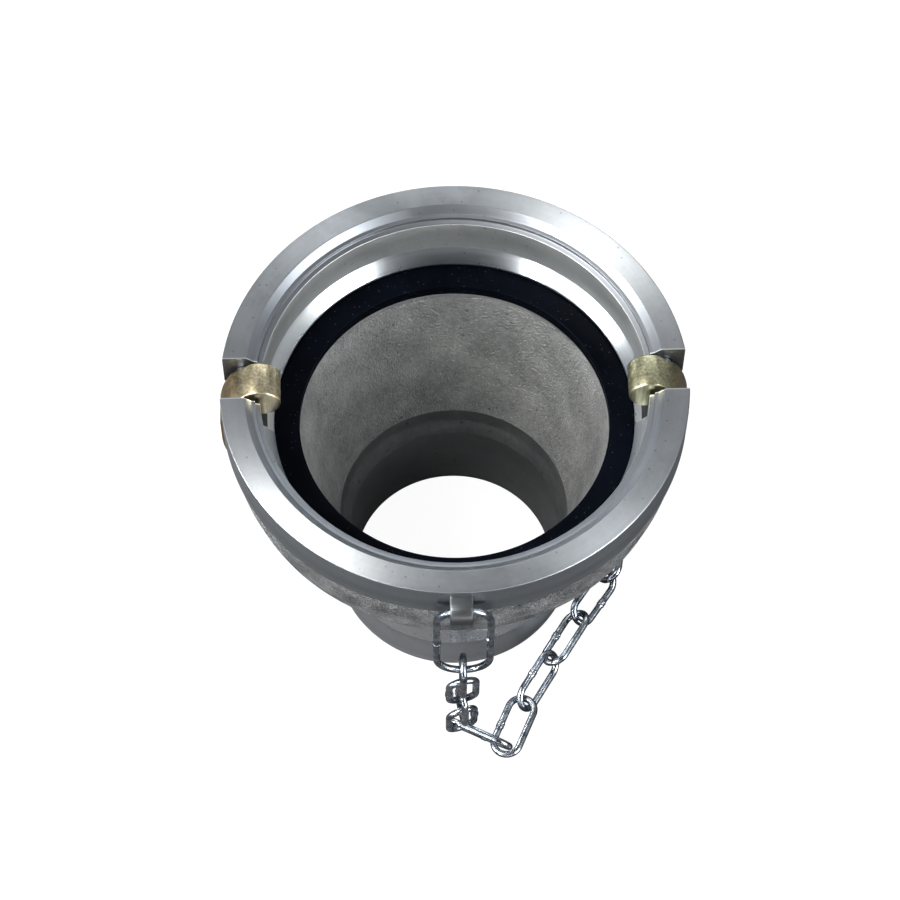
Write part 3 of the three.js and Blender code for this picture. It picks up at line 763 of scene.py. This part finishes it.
def nodeAxes(node):
    # middle and the long, cross and through directions of a flat loop, from its own points
    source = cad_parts[node].data
    points = np.empty(len(source.vertices) * 3)
    source.vertices.foreach_get("co", points)
    points = np.unique(points.reshape(-1, 3).round(7), axis=0)
    middle = points.mean(0)
    directions = np.linalg.svd(points - middle, full_matrices=False)[2]
    reach = (points - middle) @ directions.T
    middle = middle + directions.T @ ((reach.max(0) + reach.min(0)) / 2)
    return middle, directions, reach.max(0) - reach.min(0)


def wireLoop(name, node, radius, welds=(), joint=None):
    # round wire bent to two straights and two half circles; s is the distance round the loop.
    # A weld is a bell-shaped swelling of the wire with two small ridges beside it, and a joint
    # is a narrow nick where the two wire ends meet a little out of line.
    middle, directions, size = nodeAxes(node)
    bend = size[1] / 2 - radius
    straight = max(size[0] - size[1], 0.0)
    total = 2 * straight + 2 * np.pi * bend
    base = np.linspace(0, total, wire["along"], endpoint=False)
    extra = [base]
    near = np.linspace(-wire["spotHalf"], wire["spotHalf"], wire["spotSteps"]) * mm
    for spot in list(welds) + ([joint] if joint is not None else []):
        extra.append((spot * total + near) % total)
    s = np.unique(np.concatenate(extra).round(6))
    half = total / 2
    side = np.where(s < half, 1.0, -1.0)
    local = np.where(s < half, s, s - half)
    flat = local < straight
    angle = np.where(flat, np.pi / 2, np.pi / 2 + (local - straight) / bend)
    x = np.where(flat, straight / 2 - local, -straight / 2 + bend * np.cos(angle))
    y = bend * np.sin(angle)
    outX = np.where(flat, 0.0, np.cos(angle))
    outY = np.sin(angle)
    thick = np.full(len(s), radius)
    shift = np.zeros(len(s))
    for spot in welds:
        away = np.abs((s - spot * total + half) % total - half)
        thick += wire["weldHigh"] * mm * bell(away, wire["weldLong"] * mm)
        flash = bell(away - wire["flashAway"] * mm, wire["flashLong"] * mm)
        thick += wire["flashHigh"] * mm * flash
    if joint is not None:
        off = (s - joint * total + half) % total - half
        thick -= wire["nickDeep"] * radius * bell(off, wire["nickLong"] * mm)
        step = wire["shiftHigh"] * mm * np.where(off > 0, 1, -1)
        shift += step * bell(off, wire["shiftLong"] * mm)
    phi = np.linspace(0, 2 * np.pi, wire["round"], endpoint=False)
    spread = thick[:, None] * np.cos(phi)[None, :] + shift[:, None]
    points = np.stack([
        (side * x)[:, None] + spread * (side * outX)[:, None],
        (side * y)[:, None] + spread * (side * outY)[:, None],
        thick[:, None] * np.sin(phi)[None, :] + 0 * spread,
    ], axis=-1)
    placed = points.reshape(-1, 3) @ directions + middle
    return closedMesh(name, placed, gridFaces(len(s), wire["round"]).tolist())


chainZinc = brightWire("brightZinc", (0.12, 0.14, 0.155), (0.62, 0.64, 0.66), 0.20, 0.9)
ringSteel = brightWire("drawnRing", (0.46, 0.46, 0.47), (0.74, 0.74, 0.75), 0.22, 0.3)
picker = np.random.default_rng(wire["seed"])


def wirePiece(name, node, body, radius, material, welds=(), joint=None):
    loop = wireLoop(name, node, radius * mm, welds, joint)
    piece = addPiece(name, loop, [material], wire["smoothAngle"])
    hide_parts(node)
    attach(piece, body)


for word in ("left", "right"):
    node = "pull_ring_" + word
    ringWire, ringJoint = wire["ringRadius"], wire["ringJoint"]
    name = "pullRing" + word.title()
    wirePiece(name, node, node, ringWire, ringSteel, (), ringJoint)


def zincPiece(name, node, body, weld, joint=None):
    wirePiece(name, node, body, wire["radius"], chainZinc, (weld,), joint)


shackleSpots = wire["shackleWeld"], wire["shackleJoint"]
zincPiece("shackleLink", "chain_shackle_link", "chain_shackle", *shackleSpots)
linkNames = sorted(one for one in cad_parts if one.startswith("chain_link_"))
for node in linkNames:
    number = node[-2:]
    wander = wire["weldWander"]
    weld = picker.choice(wire["weldChoices"]) + picker.uniform(-wander, wander)
    zincPiece("chainLink" + number, node, "link_" + number, weld)
zincPiece("endRing", "chain_end_ring", "end_ring", wire["endWeld"])
print("chain made", len(linkNames), "links")


# lamps are name: (place, size, power, tint), in metres and watts
studio = {
    "floorHalf": 4.0, "floorGlow": 0.95, "floorGrey": 0.12, "floorSeen": 0.10,
    "camera": (-16.1, -486.7, 838.4), "tilt": 28.84, "roll": -0.121, "turn": -1.504,
    "lens": 120.0, "sensor": 36, "clip": (0.01, 20), "gamma": 0.86,
    "sky": ((0.0, 0.08), (0.48, 0.14), (0.56, 0.34), (0.76, 0.42), (1.0, 0.62)),
    "skyPower": 0.85, "darkCards": -0.92, "highCard": (0.0, -0.50, 0.866), "target": 0.08,
    "lamps": {
        "keyBox": ((-0.75, -0.25, 1.05), (0.6, 0.6), 22, (1.0, 0.99, 0.97)),
        "fillBox": ((0.85, -0.45, 0.80), (0.6, 0.6), 6, (0.95, 0.98, 1.0)),
        "backBox": ((0.10, 1.05, 0.85), (1.2, 0.4), 4, (0.92, 0.96, 1.0)),
        "rightLow": ((0.95, -0.70, 0.36), (0.55, 0.35), 9, (1, 1, 1)),
        "leftLow": ((-1.15, -0.20, 0.34), (0.45, 0.35), 8, (1, 1, 1)),
        "leftSlit": ((-0.75, -0.85, 0.40), (0.12, 0.40), 4, (1, 1, 1)),
        "frontStrip": ((0.0, -1.25, 0.27), (1.3, 0.10), 2.5, (1, 1, 1)),
    },
}

floorSize = studio["floorHalf"]
corners = [
    (-floorSize, -floorSize, 0), (floorSize, -floorSize, 0),
    (floorSize, floorSize, 0), (-floorSize, floorSize, 0),
]
floorMesh = bpy.data.meshes.new("studioFloor")
floorMesh.from_pydata(corners, [], [(0, 1, 2, 3)])
floorMesh.update()
studioFloor = bpy.data.objects.new("studioFloor", floorMesh)
bpy.context.scene.collection.objects.link(studioFloor)
paper = bpy.data.materials.new("palePaper")
paper.use_nodes = True
tree = paper.node_tree
tree.nodes.clear()
# white where the camera sees it and a dull grey to the light that bounces off it
seen = put(tree, "ShaderNodeLightPath").outputs["Is Camera Ray"]
glow = put(tree, "ShaderNodeEmission", {"Color": (1, 1, 1, 1), "Strength": studio["floorGlow"]})
grey = studio["floorGrey"]
dull = put(tree, "ShaderNodeBsdfDiffuse", {"Color": (grey, grey, grey * 1.03, 1)})
pale = studio["floorSeen"]
soft = put(tree, "ShaderNodeBsdfDiffuse", {"Color": (pale, pale, pale, 1)})
bright = put(tree, "ShaderNodeAddShader", {0: glow.outputs[0], 1: soft.outputs[0]})
choice = put(tree, "ShaderNodeMixShader", {0: seen, 1: dull.outputs[0], 2: bright.outputs[0]})
put(tree, "ShaderNodeOutputMaterial", {"Surface": choice.outputs[0]})
floorMesh.materials.append(paper)

world = bpy.data.worlds.new("studioRoom")
world.use_nodes = True
bpy.context.scene.world = world
tree = world.node_tree
tree.nodes.clear()
way = put(tree, "ShaderNodeTexCoord").outputs["Generated"]
rise = put(tree, "ShaderNodeSeparateXYZ", {"Vector": way}).outputs["Z"]
ramp = put(tree, "ShaderNodeValToRGB", {"Fac": between(tree, rise, -1.0, 1.0)})
stops = ramp.color_ramp.elements
while len(stops) < len(studio["sky"]):
    stops.new(0.5)
for stop, (spot, level) in zip(stops, studio["sky"]):
    stop.position = spot
    stop.color = (level * 0.98, level, level * 1.03, 1)
# two dark cards in the room, one low in front and one high in front
parts = put(tree, "ShaderNodeSeparateXYZ", {"Vector": way})
front = between(tree, parts.outputs["Y"], -0.15, -0.75)
wing = between(tree, calculate(tree, "ABSOLUTE", parts.outputs["X"]), 0.20, 0.50)
low = calculate(tree, "MULTIPLY", front, calculate(tree, "SUBTRACT", 1.0, wing))
facing = {0: way, 1: studio["highCard"]}
upFront = put(tree, "ShaderNodeVectorMath", facing, operation="DOT_PRODUCT").outputs["Value"]
high = between(tree, upFront, 0.58, 0.86)
dim = calculate(tree, "MAXIMUM", low, high)
lit = calculate(tree, "MULTIPLY_ADD", dim, studio["darkCards"], 1.0)
greyLit = put(tree, "ShaderNodeCombineColor", {0: lit, 1: lit, 2: lit}).outputs[0]
shade = blendColour(tree, 1.0, ramp.outputs[0], greyLit, "MULTIPLY")
sky = put(tree, "ShaderNodeBackground", {"Color": shade, "Strength": studio["skyPower"]})
put(tree, "ShaderNodeOutputWorld", {"Surface": sky.outputs[0]})


def softbox(name, spot, size, power, tint):
    # an area lamp that faces the middle of the coupling
    lamp = bpy.data.lights.new(name, "AREA")
    lamp.shape = "RECTANGLE"
    lamp.size, lamp.size_y = size
    lamp.energy = power
    lamp.color = tint
    holder = bpy.data.objects.new(name, lamp)
    holder.location = spot
    holder.rotation_euler = (target - Vector(spot)).to_track_quat("-Z", "Y").to_euler()
    bpy.context.scene.collection.objects.link(holder)


target = Vector((axisX, axisY, studio["target"]))
for name, settings in studio["lamps"].items():
    softbox(name, *settings)

lens = bpy.data.cameras.new("studioCamera")
lens.lens = studio["lens"]
lens.sensor_width = studio["sensor"]
lens.clip_start, lens.clip_end = studio["clip"]
studioCamera = bpy.data.objects.new("studioCamera", lens)
studioCamera.location = Vector((axisX, axisY, rimZ)) + Vector(studio["camera"]) * mm
studioCamera.rotation_euler = [math.radians(studio[one]) for one in ("tilt", "roll", "turn")]
bpy.context.scene.collection.objects.link(studioCamera)
bpy.context.scene.camera = studioCamera
bpy.context.scene.view_settings.view_transform = "Standard"
bpy.context.scene.view_settings.gamma = studio["gamma"]
print("studio made")
